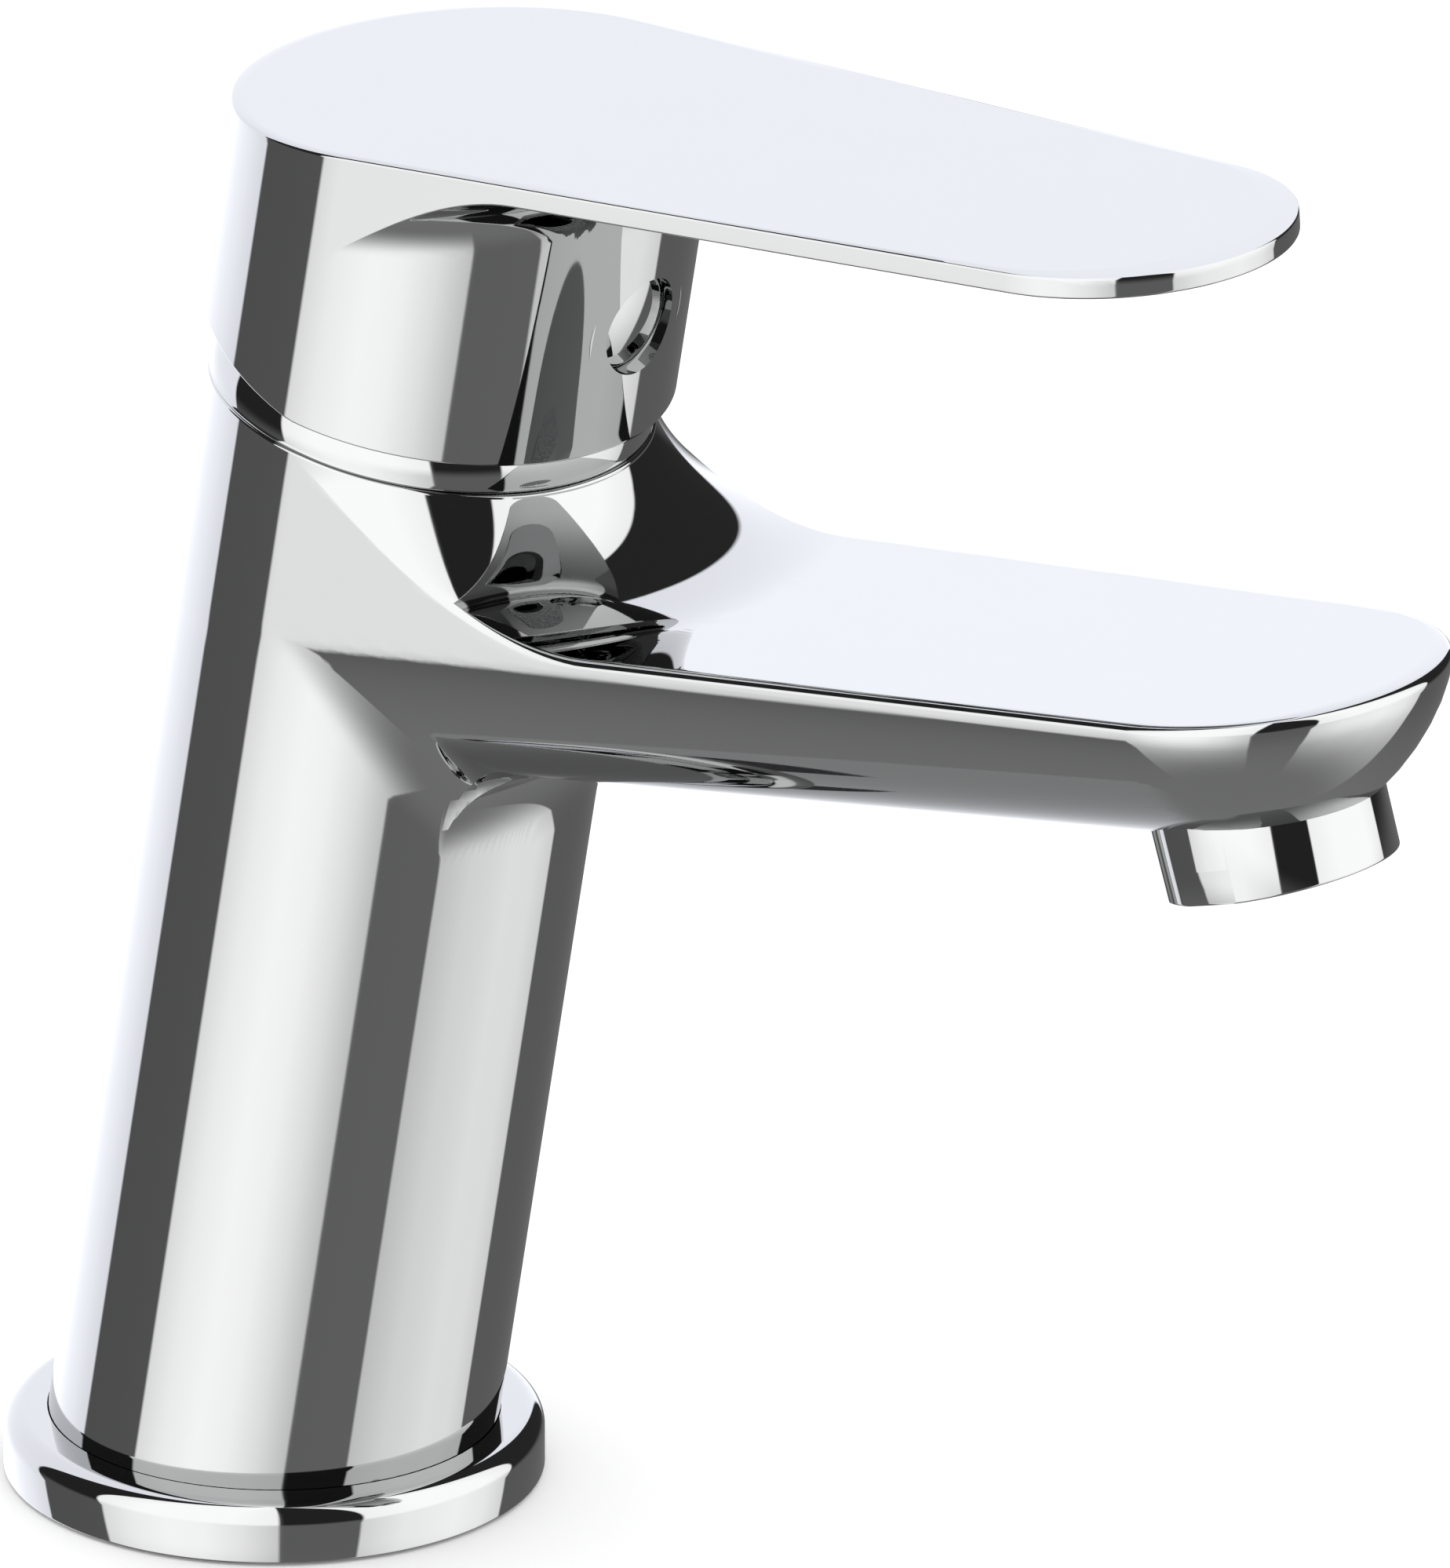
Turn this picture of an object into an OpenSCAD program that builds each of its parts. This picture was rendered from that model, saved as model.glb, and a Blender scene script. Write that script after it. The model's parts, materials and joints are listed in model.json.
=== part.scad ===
// Single-lever basin mixer: a forward-leaning round body on a base ring, a short flat-topped spout,
// a flat teardrop lever, a 35 mm ceramic-disc cartridge, an M22 aerator and a one-stud fixing kit.
// Z = 0 is the top of the basin deck, X points along the spout and Y to the right of a user who faces it.

/* [Body] */
// Outside diameter of the leaning body
body_d = 45; // [44:0.5:48]
// Forward lean of the body and handle from vertical, in degrees
lean_deg = 10; // [5:1:14]
// Length of the body from the top of the base ring to its rim, along the leaning line
body_length = 116.6; // [112:0.2:124]
// Wall of the hollow lower body
body_wall = 3.5; // [3:0.5:4]

/* [Base] */
// Outside diameter of the base ring
ring_d = 54.4; // [52:0.2:60]
// Height of the ring's top above the deck
ring_top = 6.4; // [5.5:0.1:8]
// Radius of the ring's rounded shoulder
ring_shoulder = 2.2; // [1:0.2:2.6]
// How far the base gasket stands out under the ring
gasket_proud = 0.3; // [0.1:0.1:0.6]

/* [Spout] */
// Height along the body's line at which the spout's flat top meets it
spout_level = 97; // [94:0.5:100]
// Rise of the spout's top, in degrees
spout_rise = 7.8; // [5:0.2:10]
// Distance from the body's line to the centre of the rounded tip
spout_reach = 106.8; // [95:0.2:112]
// Radius of the rounded tip
spout_tip_r = 20.3; // [19.5:0.1:21.5]
// Depth of the spout at the tip
spout_tip_depth = 15.4; // [14.8:0.2:17]
// Depth of the spout at the body
spout_root_depth = 16.8; // [16.6:0.2:19]

/* [Outlet] */
// Distance of the outlet from the base's centre
outlet_x = 126.9; // [126:0.1:128]
// Height of the outlet above the deck
outlet_z = 95.5; // [95:0.1:96]
// Forward tilt of the outlet, in degrees
outlet_tilt = 16.4; // [15:0.2:18]
// Outside diameter of the aerator's housing
aerator_d = 24.2; // [24:0.1:25]
// Nominal diameter of the aerator's thread
aerator_thread_d = 22; // [22:0.5:22]

/* [Handle] */
// Outside diameter of the handle's skirt
skirt_d = 48.3; // [47.6:0.1:50]
// Wall of the skirt
skirt_wall = 2; // [1.6:0.1:2.2]
// Height of the skirt's lower edge above the body's rim
skirt_gap = 4.1; // [3.8:0.1:5]
// Slope of the clearance cut under the skirt's back, in degrees
skirt_cut_deg = 12; // [10:1:14]
// Height above the body's rim at which the lever's flat top meets the body's line
lever_level = 34.2; // [33:0.2:38]
// Rise of the lever's top, in degrees
lever_rise = 3.7; // [2:0.1:5]
// Distance from the body's line to the centre of the lever's tip
lever_reach = 79.4; // [70:0.2:85]
// Radius of the lever's tip
lever_tip_r = 18.7; // [17:0.1:20]
// Thickness of the lever's plate
lever_thick = 2.3; // [2:0.1:3]
// Height of the index plug's centre above the body's rim
plug_level = 17.3; // [16:0.1:18]
// Diameter of the index plug
plug_d = 10.4; // [9:0.2:11]

/* [Motion] */
// Depth of the lever's pivot below the body's rim
pivot_below_rim = 11; // [11:0.5:11]
// Travel of the lever from closed to fully open, in degrees
lift_deg = 25; // [20:1:25]

/* [Fixing kit] */
// Thickness of the basin deck that is clamped
deck_thick = 20; // [5:1:30]
// Diameter of the threaded fixing stud
stud_d = 8; // [8:1:8]
// Length of the fixing stud
stud_length = 82; // [80:1:110]
// Distance of the stud behind the base's centre
stud_back = 12.5; // [12:0.5:13]

/* [Hidden] */
$fn = 96;

// Shared values
far = 200;
slip = 0.05;
body_r = body_d / 2;
bore_r = body_r - body_wall;
foot_z = 3;
ring_bore_r = 17.5;
rim_t = body_length;
pivot_t = rim_t - pivot_below_rim;
stem_rest_deg = lift_deg / 2;

// Cartridge, as heights along the body's line
seat_t = 80;
seat_bore_r = 17.65;
nut_bore_r = 19;
nut_floor_t = 107;
nut_top_t = 115.5;
shell_r = 17.5;
shell_low_r = 16.6;
shell_low_top_t = 98.5;
neck_r = 13.6;
neck_top_t = 117;
base_t = seat_t + 0.6;
disc_t = 85;
disc_top_t = 88.5;
moving_top_t = 91.5;
carrier_top_t = 98.5;
rotor_t = 99;
rotor_top_t = 117.6;
rotor_r = 13;
rotor_neck_r = 10.5;
rotor_shoulder_t = 109;
disc_r = 14;
moving_r = 11.5;
disc_shift = -1.85;
slot_w = 8.3;

// Water ways: the two inlets, the mixed outlet and the two locating pegs
inlet_x = 2.6;
inlet_y = 6.8;
inlet_r = 2.5;
inlet_thread_r = 4.5;
inlet_thread_t = 58;
inlet_thread_h = 14;
mixed_x = -5.5;
mixed_r = 3;
peg_x = -4;
peg_y = 12;
peg_r = 1.8;
channel_r = 5.5;

// Stem and handle
stem_w = 8;
stem_top = 31;
ball_below = 8.5;
ball_r = 2.4;
boss_r = 8.5;
boss_foot = 21;
grub_r = 2.5;
skirt_r = skirt_d / 2;
skirt_in_r = skirt_r - skirt_wall;
skirt_t = rim_t + skirt_gap;
lever_t = rim_t + lever_level;
plug_t = rim_t + plug_level;
plug_r = plug_d / 2;
plug_floor = skirt_r - 2.6;

// Aerator, as heights above the outlet along its tilted line
aerator_r = aerator_d / 2;
thread_r = aerator_thread_d / 2;
housing_h = 9.5;
nipple_w = 4.5;
recess_w = 9.8;
nipple_bore_r = 9.3;
nipple_bore_top = 13.5;
lip_h = 1.2;
lip_r = 9.7;

// Fixing kit
plate_r = 25;
rubber_h = 3;
steel_h = 2;
nut_h = 11;
stud_top = 20;
stud_r = stud_d / 2;
shank_r = 3.6;
slot_x = 6;
slot_r = 11.5;

// Places children at height t along the leaning line of the body
module lean_at(t) {
    translate([0, 0, ring_top]) rotate([0, lean_deg, 0]) translate([0, 0, t]) children();
}

// Places children at height w above the outlet, along its tilted line
module outlet_at(w) {
    translate([outlet_x, 0, outlet_z]) rotate([0, -outlet_tilt, 0]) translate([0, 0, w]) children();
}

// Lays children on a plane that crosses the body's line at height t and rises forward
module rising_plane(t, rise) {
    lean_at(t) rotate([0, -lean_deg - rise, 0]) children();
}

// Places children on the stem's own line, which leans forward from the pivot
module stem_at(h) {
    lean_at(pivot_t) rotate([0, stem_rest_deg, 0]) translate([0, 0, h]) children();
}

module tube(h, r_out, r_in) {
    difference() {
        cylinder(h = h, r = r_out);
        translate([0, 0, -1]) cylinder(h = h + 2, r = r_in);
    }
}

module ring_seal(r, thick) {
    rotate_extrude() translate([r, 0]) circle(r = thick / 2, $fn = 32);
}

module both_inlets() {
    for (side = [-1, 1]) translate([inlet_x, side * inlet_y, 0]) children();
}

module both_pegs() {
    for (side = [-1, 1]) translate([peg_x, side * peg_y, 0]) children();
}

// ---------------------------------------------------------------- base

module base_ring() {
    ring_w = ring_d / 2 - ring_bore_r;
    ring_h = ring_top - gasket_proud;
    color("gainsboro") difference() {
        rotate_extrude() difference() {
            union() {
                translate([ring_bore_r, gasket_proud]) square([ring_w, ring_h - ring_shoulder]);
                translate([ring_bore_r, gasket_proud]) square([ring_w - ring_shoulder, ring_h]);
                translate([ring_d / 2 - ring_shoulder, ring_top - ring_shoulder]) circle(r = ring_shoulder);
            }
            translate([19.4, -1]) square([6.2, 1 + 1.8 + 0.02]);
        }
        intersection() {
            lean_at(-20) cylinder(h = 60, r = body_r + 0.1);
            translate([-far / 2, -far / 2, foot_z]) cube([far, far, far]);
        }
    }
}

module base_gasket() {
    color("dimgray") tube(1.8, 25.5, 19.5);
}

// ---------------------------------------------------------------- body and spout

// The spout's depth and inset at each step of its rounded underside
function under_depth(step, depth) = 0.9 + (depth - 0.9) * pow(sin(step), 1.37);
function under_inset(step, inset) = inset * (1 - pow(cos(step), 1.37));

module spout_slice(x, depth, r) {
    translate([x, 0, -depth]) cylinder(h = 0.02, r = r, $fn = 48);
}

module spout_shell() {
    axis_slope = tan(lean_deg + spout_rise);
    rising_plane(spout_level, spout_rise) hull() {
        spout_slice(spout_reach, 0.02, spout_tip_r - 1);
        spout_slice(0, 0.02, body_r - 1.2);
        spout_slice(spout_reach, 0.3, spout_tip_r - 0.3);
        spout_slice(0, 0.3, body_r - 0.5);
        spout_slice(spout_reach, 1, spout_tip_r);
        spout_slice(0, 1, body_r - 0.2);
        for (step = [0 : 10 : 90]) {
            tip_depth = under_depth(step, spout_tip_depth);
            root_depth = under_depth(step, spout_root_depth);
            spout_slice(spout_reach, tip_depth, spout_tip_r - under_inset(step, 12.2));
            spout_slice(-root_depth * axis_slope, root_depth, body_r - 0.2 - under_inset(step, 8.7));
        }
    }
}

// The hollow sweep between the rim and the spout's top, kept inside the spout's width
module neck_sweep() {
    sweep_r = 17;
    start_u = 4;
    intersection() {
        rising_plane(spout_level, spout_rise) intersection() {
            rotate_extrude() difference() {
                translate([body_r - 6, -3]) square([sweep_r + 6, sweep_r + 3]);
                translate([body_r + sweep_r, sweep_r]) circle(r = sweep_r);
            }
            translate([0, 0, -3]) linear_extrude(height = 30) polygon([
                [start_u, -body_r + 0.4], [spout_reach, -spout_tip_r + 1],
                [spout_reach, spout_tip_r - 1], [start_u, body_r - 0.4],
            ]);
        }
        lean_at(0) cylinder(h = rim_t, r = 3 * body_r);
    }
}

module stud_boss() {
    intersection() {
        translate([-stud_back, 0, foot_z]) cylinder(h = stud_top + 5 - foot_z, r = 7.5);
        lean_at(-20) cylinder(h = 80, r = body_r - 0.5);
    }
}

module body_outside() {
    intersection() {
        lean_at(-20) cylinder(h = rim_t + 20, r = body_r);
        translate([-far / 2, -far / 2, foot_z]) cube([far, far, far]);
    }
    spout_shell();
    neck_sweep();
}

module body_water_ways() {
    // Threaded inlets and the bores above them
    lean_at(inlet_thread_t - 1) both_inlets() cylinder(h = inlet_thread_h + 1, r = inlet_thread_r);
    lean_at(inlet_thread_t) both_inlets() cylinder(h = 40, r = inlet_r);
    lean_at(seat_t - 3) both_pegs() cylinder(h = 4, r = peg_r + slip);
    // Spout channel from the cartridge's chamber to the outlet
    translate([29, 0, 94]) rotate([0, 90 - 9, 0]) cylinder(h = 94, r = channel_r);
    outlet_at(nipple_w - 1) cylinder(h = nipple_bore_top - nipple_w + 1, r = nipple_bore_r);
}

module faucet_body() {
    color("gainsboro") difference() {
        union() {
            difference() {
                body_outside();
                lean_at(-20) cylinder(h = 20 + inlet_thread_t, r = bore_r);
                outlet_at(-20) cylinder(h = 20 + recess_w, r = aerator_r + 0.1);
            }
            stud_boss();
            outlet_at(nipple_w) cylinder(h = recess_w - nipple_w + 0.5, r = thread_r - slip);
        }
        translate([-stud_back, 0, foot_z - 1]) cylinder(h = stud_top - foot_z + 1, r = stud_r + 0.02);
        lean_at(seat_t) cylinder(h = nut_floor_t - seat_t + 1, r = seat_bore_r);
        lean_at(nut_floor_t - 1) cylinder(h = rim_t - nut_floor_t + 2, r = nut_bore_r);
        body_water_ways();
    }
}

module collar() {
    dome_h = 8;
    dome_r = 9;
    foot = 0.05;
    color("gainsboro") lean_at(rim_t + foot) rotate_extrude() union() {
        intersection() {
            union() {
                translate([body_r - dome_r, 0]) circle(r = dome_r);
                translate([16, 0]) square([body_r - dome_r - 16 + 0.01, dome_h]);
            }
            translate([17.6, 0]) square([8, dome_h]);
        }
        translate([17.6, -1]) square([1.3, 1.5]);
    }
}

// ---------------------------------------------------------------- cartridge

module cartridge_nut() {
    color("goldenrod") lean_at(nut_floor_t) difference() {
        union() {
            cylinder(h = nut_top_t - nut_floor_t, r = nut_bore_r - slip);
            cylinder(h = 11.5, r = 17.4, $fn = 6);
        }
        translate([0, 0, -1]) cylinder(h = 20, r = neck_r + 0.15);
    }
}

module cartridge_housing() {
    color("white") difference() {
        union() {
            lean_at(base_t + 1) cylinder(h = shell_low_top_t - base_t - 1, r = shell_low_r);
            lean_at(shell_low_top_t) cylinder(h = nut_floor_t - shell_low_top_t, r = shell_r);
            lean_at(nut_floor_t - 1) cylinder(h = neck_top_t - nut_floor_t + 1, r = neck_r);
        }
        lean_at(base_t) cylinder(h = rotor_t - base_t, r = 15);
        lean_at(rotor_t - 1) cylinder(h = rotor_shoulder_t - rotor_t + 1, r = rotor_r + slip);
        lean_at(rotor_shoulder_t - 1) cylinder(h = 20, r = rotor_neck_r + slip);
        // Groove for the seal that closes the chamber above the outlet
        lean_at(101.5) tube(2, 20, 16.2);
        // Windows that let the mixed water out of the base
        lean_at(base_t - 1) translate([-20, -4, 0]) cube([12, 8, 5]);
    }
}

module cartridge_base() {
    color("lightgray") difference() {
        union() {
            lean_at(base_t) cylinder(h = disc_t - base_t, r = 14.95);
            lean_at(base_t - 2.5) both_pegs() cylinder(h = 3, r = peg_r);
        }
        lean_at(base_t - 1) both_inlets() cylinder(h = 10, r = inlet_r);
        lean_at(base_t - 1) both_inlets() cylinder(h = 2, r = 4.2);
        // Mixed water leaves down through the port and out to the back
        lean_at(base_t + 1.6) translate([mixed_x, 0, 0]) cylinder(h = 10, r = mixed_r);
        lean_at(base_t + 1.6) translate([-20, -mixed_r, 0]) cube([20 + mixed_x, 2 * mixed_r, 2]);
        // Grooves for the port seals under the ceramic disc
        lean_at(disc_t - 0.8) both_inlets() cylinder(h = 2, r = 3.9);
        lean_at(disc_t - 0.8) translate([mixed_x, 0, 0]) cylinder(h = 2, r = 4.2);
    }
}

module inlet_seals() {
    color("dimgray") lean_at(seat_t) both_inlets() tube(1.55, 4.15, inlet_r + 0.2);
}

module housing_seal() {
    color("dimgray") lean_at(102.5) ring_seal(16.92, 1.4);
}

module port_seals() {
    color("dimgray") lean_at(disc_t - 0.8) {
        both_inlets() tube(0.8, 3.85, inlet_r + 0.1);
        translate([mixed_x, 0, 0]) tube(0.8, 4.15, mixed_r + 0.1);
    }
}

module fixed_disc() {
    color("white") lean_at(disc_t) difference() {
        cylinder(h = disc_top_t - disc_t, r = disc_r);
        translate([0, 0, -1]) both_inlets() cylinder(h = 10, r = inlet_r);
        translate([mixed_x, 0, -1]) cylinder(h = 10, r = mixed_r);
    }
}

// The hollow under the moving disc that joins the inlets to the outlet when the lever is up
module disc_hollow() {
    for (side = [-1, 1]) translate([-5, side * 5, -1]) cylinder(h = 2.6, r = 3.2);
    translate([-8.2, -5, -1]) cube([6.4, 10, 2.6]);
}

module moving_disc() {
    color("whitesmoke") lean_at(disc_top_t + 0.02) difference() {
        translate([disc_shift, 0, 0]) cylinder(h = moving_top_t - disc_top_t - 0.02, r = moving_r);
        disc_hollow();
    }
}

module disc_carrier() {
    color("steelblue") lean_at(moving_top_t) translate([disc_shift, 0, 0]) difference() {
        union() {
            cylinder(h = carrier_top_t - moving_top_t, r = moving_r);
            translate([-5.5, -slot_w / 2 + slip, 0]) cube([11, slot_w - 2 * slip, 9.2]);
        }
        translate([0, 0, 1.5]) cylinder(h = 20, r = ball_r + 0.3);
        translate([0, 0, 6.4]) rotate([90, 0, 0]) linear_extrude(height = 20, center = true) {
            polygon([[-2.4, 0], [2.4, 0], [4.6, 4], [-4.6, 4]]);
        }
    }
}

module rotor() {
    color("white") difference() {
        union() {
            lean_at(rotor_t) cylinder(h = rotor_shoulder_t - rotor_t - slip, r = rotor_r);
            lean_at(rotor_shoulder_t - 1) cylinder(h = rotor_top_t - rotor_shoulder_t + 1, r = rotor_neck_r);
        }
        // Slot in which the stem swings and the carrier's tongue slides
        lean_at(pivot_t) rotate([90, 0, 0]) linear_extrude(height = slot_w, center = true) {
            polygon([
                [-8.6, -8], [8.6, -8], [8.6, -3.6], [5.4, -3.6], [5.4, 0], [7.6, 13],
                [-7.6, 13], [-5.4, 0], [-5.4, -3.6], [-8.6, -3.6],
            ]);
        }
        lean_at(pivot_t) rotate([90, 0, 0]) cylinder(h = 30, r = 1.52, center = true);
        lean_at(113) tube(1.6, 20, 9.4);
    }
}

module rotor_seal() {
    color("dimgray") lean_at(113.8) ring_seal(9.95, 1.08);
}

module pivot_pin() {
    color("silver") lean_at(pivot_t) rotate([90, 0, 0]) cylinder(h = 2 * rotor_r - 1, r = 1.5, center = true);
}

module stem() {
    color("silver") difference() {
        union() {
            stem_at(0) rotate([90, 0, 0]) cylinder(h = stem_w, r = stem_w / 2, center = true);
            stem_at(0) translate([-stem_w / 2, -stem_w / 2, 0]) cube([stem_w, stem_w, stem_top]);
            stem_at(-ball_below) cylinder(h = ball_below, r = 2);
            stem_at(-ball_below) sphere(r = ball_r);
        }
        stem_at(0) rotate([90, 0, 0]) cylinder(h = 20, r = 1.55, center = true);
    }
}

// ---------------------------------------------------------------- handle

// The lever's outline on its flat top, without the round back that the skirt makes
module lever_outline() {
    swing = acos((skirt_r - lever_tip_r) / lever_reach);
    // The straight sides end just inside both round ends, so that they cross them cleanly
    root_r = skirt_r - 0.1;
    end_r = lever_tip_r - 0.06;
    back = [root_r * cos(swing), root_r * sin(swing)];
    tip = [lever_reach + end_r * cos(swing), end_r * sin(swing)];
    polygon([[-1, -skirt_r + 1], [back.x, -back.y], [tip.x, -tip.y], tip, back, [-1, skirt_r - 1]]);
    translate([lever_reach, 0]) circle(r = lever_tip_r);
}

module below_lever_top(depth) {
    rising_plane(lever_t, lever_rise) translate([-far / 2, -far / 2, -far - depth]) cube([far, far, far]);
}

module skirt_cut() {
    lean_at(skirt_t) rotate([0, skirt_cut_deg, 0]) translate([-far, -far / 2, -far]) cube([far, far, far]);
}

module handle_outside() {
    difference() {
        intersection() {
            lean_at(skirt_t) cylinder(h = 60, r = skirt_r);
            below_lever_top(0);
        }
        skirt_cut();
    }
    rising_plane(lever_t, lever_rise) translate([0, 0, -lever_thick]) {
        linear_extrude(height = lever_thick) lever_outline();
    }
}

module handle_boss() {
    intersection() {
        union() {
            stem_at(boss_foot) cylinder(h = 40, r = boss_r);
            lean_at(plug_t) rotate([0, 90, 0]) cylinder(h = skirt_r - 1, r = plug_r + 2);
        }
        below_lever_top(lever_thick / 2);
        lean_at(0) cylinder(h = far, r = skirt_r - 0.5);
    }
}

module handle() {
    color("gainsboro") difference() {
        union() {
            difference() {
                handle_outside();
                intersection() {
                    lean_at(skirt_t - 5) cylinder(h = 70, r = skirt_in_r);
                    below_lever_top(lever_thick);
                }
            }
            handle_boss();
        }
        stem_at(boss_foot - 10) translate([-stem_w / 2 - slip, -stem_w / 2 - slip, 0]) {
            cube([stem_w + 2 * slip, stem_w + 2 * slip, stem_top - boss_foot + 11]);
        }
        lean_at(plug_t) rotate([0, 90, 0]) cylinder(h = 40, r = grub_r + 0.02);
        lean_at(plug_t) rotate([0, 90, 0]) translate([0, 0, plug_floor]) cylinder(h = 10, r = plug_r);
    }
}

module grub_screw() {
    grub_start = 10.96;
    color("dimgray") lean_at(plug_t) rotate([0, 90, 0]) translate([0, 0, grub_start]) difference() {
        cylinder(h = 6, r = grub_r);
        translate([0, 0, 3.5]) cylinder(h = 5, r = 1.44, $fn = 6);
    }
}

module index_plug() {
    color("gainsboro") lean_at(plug_t) rotate([0, 90, 0]) translate([0, 0, plug_floor]) {
        cylinder(h = 1.4, r = plug_r - slip);
        translate([0, 0, -2.5]) cylinder(h = 3, r = grub_r - 0.1);
        translate([0, 0, 1.4]) intersection() {
            translate([0, 0, 0.6 - 22]) sphere(r = 22);
            cylinder(h = 2, r = plug_r - slip);
        }
    }
}

// ---------------------------------------------------------------- aerator

module aerator_housing() {
    color("gainsboro") outlet_at(0) difference() {
        cylinder(h = housing_h, r = aerator_r);
        translate([0, 0, -1]) cylinder(h = 20, r = lip_r);
        translate([0, 0, lip_h]) cylinder(h = 20, r = thread_r);
        // Two spanner flats on opposite sides
        for (side = [0, 180]) rotate([0, 0, side + 270]) {
            translate([aerator_r - 0.4, -3, -1]) cube([2, 6, 4.6]);
        }
    }
}

module aerator_insert() {
    color("lightgray") outlet_at(lip_h + 0.02) difference() {
        union() {
            cylinder(h = 2.3, r = thread_r - slip);
            cylinder(h = 6, r = nipple_bore_r - 0.15);
        }
        translate([0, 0, -1]) cylinder(h = 3.2, r = 8.2);
        translate([0, 0, 4]) cylinder(h = 6, r = 8.2);
        // Ring of jet holes
        for (i = [0 : 11]) rotate([0, 0, 30 * i]) translate([5.6, 0, 0]) cylinder(h = 6, r = 0.7, $fn = 24);
    }
}

module aerator_diffuser() {
    color("whitesmoke") outlet_at(0.3) difference() {
        cylinder(h = 1.6, r = 8.15);
        for (x = [-3 : 3], y = [-3 : 3]) {
            if (norm([x, y]) < 3.3) translate([2.2 * x - 0.8, 2.2 * y - 0.8, -1]) cube([1.6, 1.6, 6]);
        }
    }
}

module aerator_screen() {
    color("silver") outlet_at(7.25) difference() {
        intersection() {
            translate([0, 0, 3 - 14]) sphere(r = 14);
            cylinder(h = 5, r = 8.9);
        }
        translate([0, 0, 2.5 - 14]) sphere(r = 14);
        translate([0, 0, -1]) cylinder(h = 1.3, r = 8.2);
    }
}

module aerator_washer() {
    color("dimgray") outlet_at(3.54) tube(0.94, thread_r - slip, nipple_bore_r);
}

// ---------------------------------------------------------------- fixing kit

module stud_line(z) {
    translate([-stud_back, 0, z]) children();
}

module mounting_stud() {
    low = stud_top - stud_length;
    color("silver") union() {
        stud_line(low) cylinder(h = -deck_thick - low, r = stud_r);
        stud_line(-deck_thick) cylinder(h = deck_thick, r = shank_r);
        stud_line(0) cylinder(h = stud_top, r = stud_r);
    }
}

// Horseshoe outline: the open side lets the two hoses pass
module horseshoe(thick, hole_r) {
    difference() {
        cylinder(h = thick, r = plate_r);
        translate([slot_x, 0, -1]) cylinder(h = thick + 2, r = slot_r);
        translate([slot_x, -slot_r, -1]) cube([plate_r, 2 * slot_r, thick + 2]);
        translate([-stud_back, 0, -1]) cylinder(h = thick + 2, r = hole_r);
    }
}

module rubber_washer() {
    color("dimgray") translate([0, 0, -deck_thick - rubber_h]) horseshoe(rubber_h, stud_r + 0.1);
}

module clamp_plate() {
    color("silver") translate([0, 0, -deck_thick - rubber_h - steel_h]) horseshoe(steel_h, stud_r + 0.3);
}

module mounting_nut() {
    nut_top = -deck_thick - rubber_h - steel_h;
    color("goldenrod") stud_line(nut_top - nut_h) difference() {
        union() {
            cylinder(h = nut_h, r = 7.5, $fn = 6);
            translate([0, 0, nut_h - 1.5]) cylinder(h = 1.5, r = 8);
        }
        translate([0, 0, -1]) cylinder(h = nut_h + 2, r = stud_r + 0.03);
    }
}

base_ring();
base_gasket();
faucet_body();
collar();
cartridge_nut();
cartridge_housing();
cartridge_base();
inlet_seals();
housing_seal();
port_seals();
fixed_disc();
moving_disc();
disc_carrier();
rotor();
rotor_seal();
pivot_pin();
stem();
handle();
grub_screw();
index_plug();
aerator_housing();
aerator_insert();
aerator_diffuser();
aerator_screen();
aerator_washer();
mounting_stud();
rubber_washer();
clamp_plate();
mounting_nut();
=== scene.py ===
"""Looks for the single-lever basin mixer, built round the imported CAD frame.

Lengths in the shape code are millimetres, measured along and across the body's leaning line.
Each mesh becomes metres when it is made.
"""

import json
import math

import bpy
import numpy as np
from mathutils import Matrix, Vector


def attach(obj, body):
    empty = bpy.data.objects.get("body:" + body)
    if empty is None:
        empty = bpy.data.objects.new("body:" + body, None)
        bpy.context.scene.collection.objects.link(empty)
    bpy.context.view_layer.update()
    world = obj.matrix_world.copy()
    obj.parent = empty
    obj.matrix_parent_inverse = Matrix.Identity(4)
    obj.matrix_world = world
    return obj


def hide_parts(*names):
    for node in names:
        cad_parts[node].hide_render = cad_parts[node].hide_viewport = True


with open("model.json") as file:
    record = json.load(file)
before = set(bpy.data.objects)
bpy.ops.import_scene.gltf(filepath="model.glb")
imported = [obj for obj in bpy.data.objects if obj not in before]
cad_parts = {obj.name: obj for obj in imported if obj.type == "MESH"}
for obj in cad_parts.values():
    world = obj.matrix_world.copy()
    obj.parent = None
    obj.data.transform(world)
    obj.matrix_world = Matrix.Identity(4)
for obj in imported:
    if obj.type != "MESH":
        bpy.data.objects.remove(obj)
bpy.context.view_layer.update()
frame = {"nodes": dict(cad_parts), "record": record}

MM = 0.001

# The view, in degrees and millimetres
VIEW_TURN = 37.76
VIEW_LIFT = 21.91
VIEW_RIGHT = 45.29
VIEW_UP = 68.21
VIEW_DEPTH = 60.0
VIEW_TALL = 156.19

# The studio: the compass headings where its three dark flags start and end, and its greys.
# The last flag is narrower above the horizon, where it ends at HIGH_END.
FLAGS = (-166.5, -129.8, -49.4, -15.0, 63.5, 127.0)
HIGH_END = 109.0
FLAG_BLUR = 0.2
CHROME_GREY = 0.42
FLOOR_GREY = 0.14
PAPER = 1.4
DECK = -0.02
FLOOR_HALF = 6000.0

# ---------------------------------------------------------------- sizes
# The driving sizes are the CAD part's. The fillets and the rounded edges are this model's own.

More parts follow.
